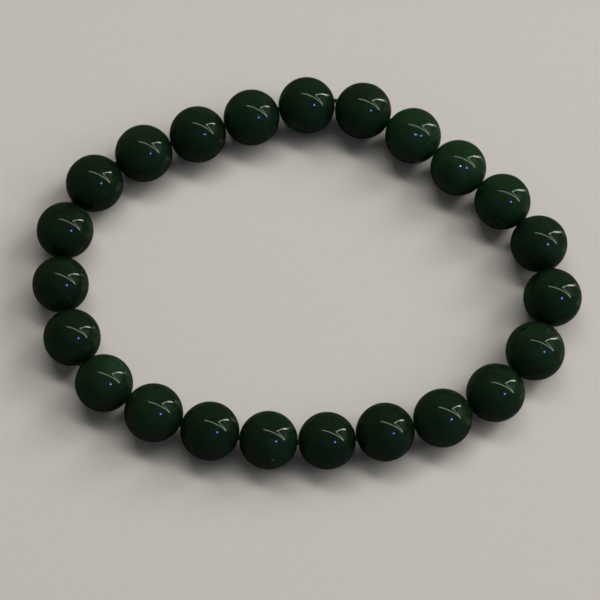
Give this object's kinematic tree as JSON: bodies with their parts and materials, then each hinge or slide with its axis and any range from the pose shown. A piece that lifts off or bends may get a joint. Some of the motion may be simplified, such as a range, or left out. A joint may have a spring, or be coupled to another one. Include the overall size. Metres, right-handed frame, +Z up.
{
  "type": "jade bracelet",
  "caption": "Stretch bracelet of round, polished dark green jade beads, each drilled and threaded on one closed elastic cord, lying flat in a loose oval.",
  "frame": {"origin": "on the resting surface, under the middle of the loop's outer box seen from above", "axes": "+Z up from the surface, +X along the oval's long way, towards the right of the picture, +Y away from the viewer"},
  "size_m": [0.0762, 0.0572, 0.0081],
  "materials": {
    "jade": "polished",
    "clear_elastic": "gloss"
  },
  "bodies": {
    "root": {"bead_01": "jade", "bead_02": "jade", "bead_03": "jade", "bead_04": "jade", "bead_05": "jade", "bead_06": "jade", "bead_07": "jade", "bead_08": "jade", "bead_09": "jade", "bead_10": "jade", "bead_11": "jade", "bead_12": "jade", "bead_13": "jade", "bead_14": "jade", "bead_15": "jade", "bead_16": "jade", "bead_17": "jade", "bead_18": "jade", "bead_19": "jade", "bead_20": "jade", "bead_21": "jade", "bead_22": "jade", "bead_23": "jade", "elastic_cord": "clear_elastic"}
  },
  "joints": []
}
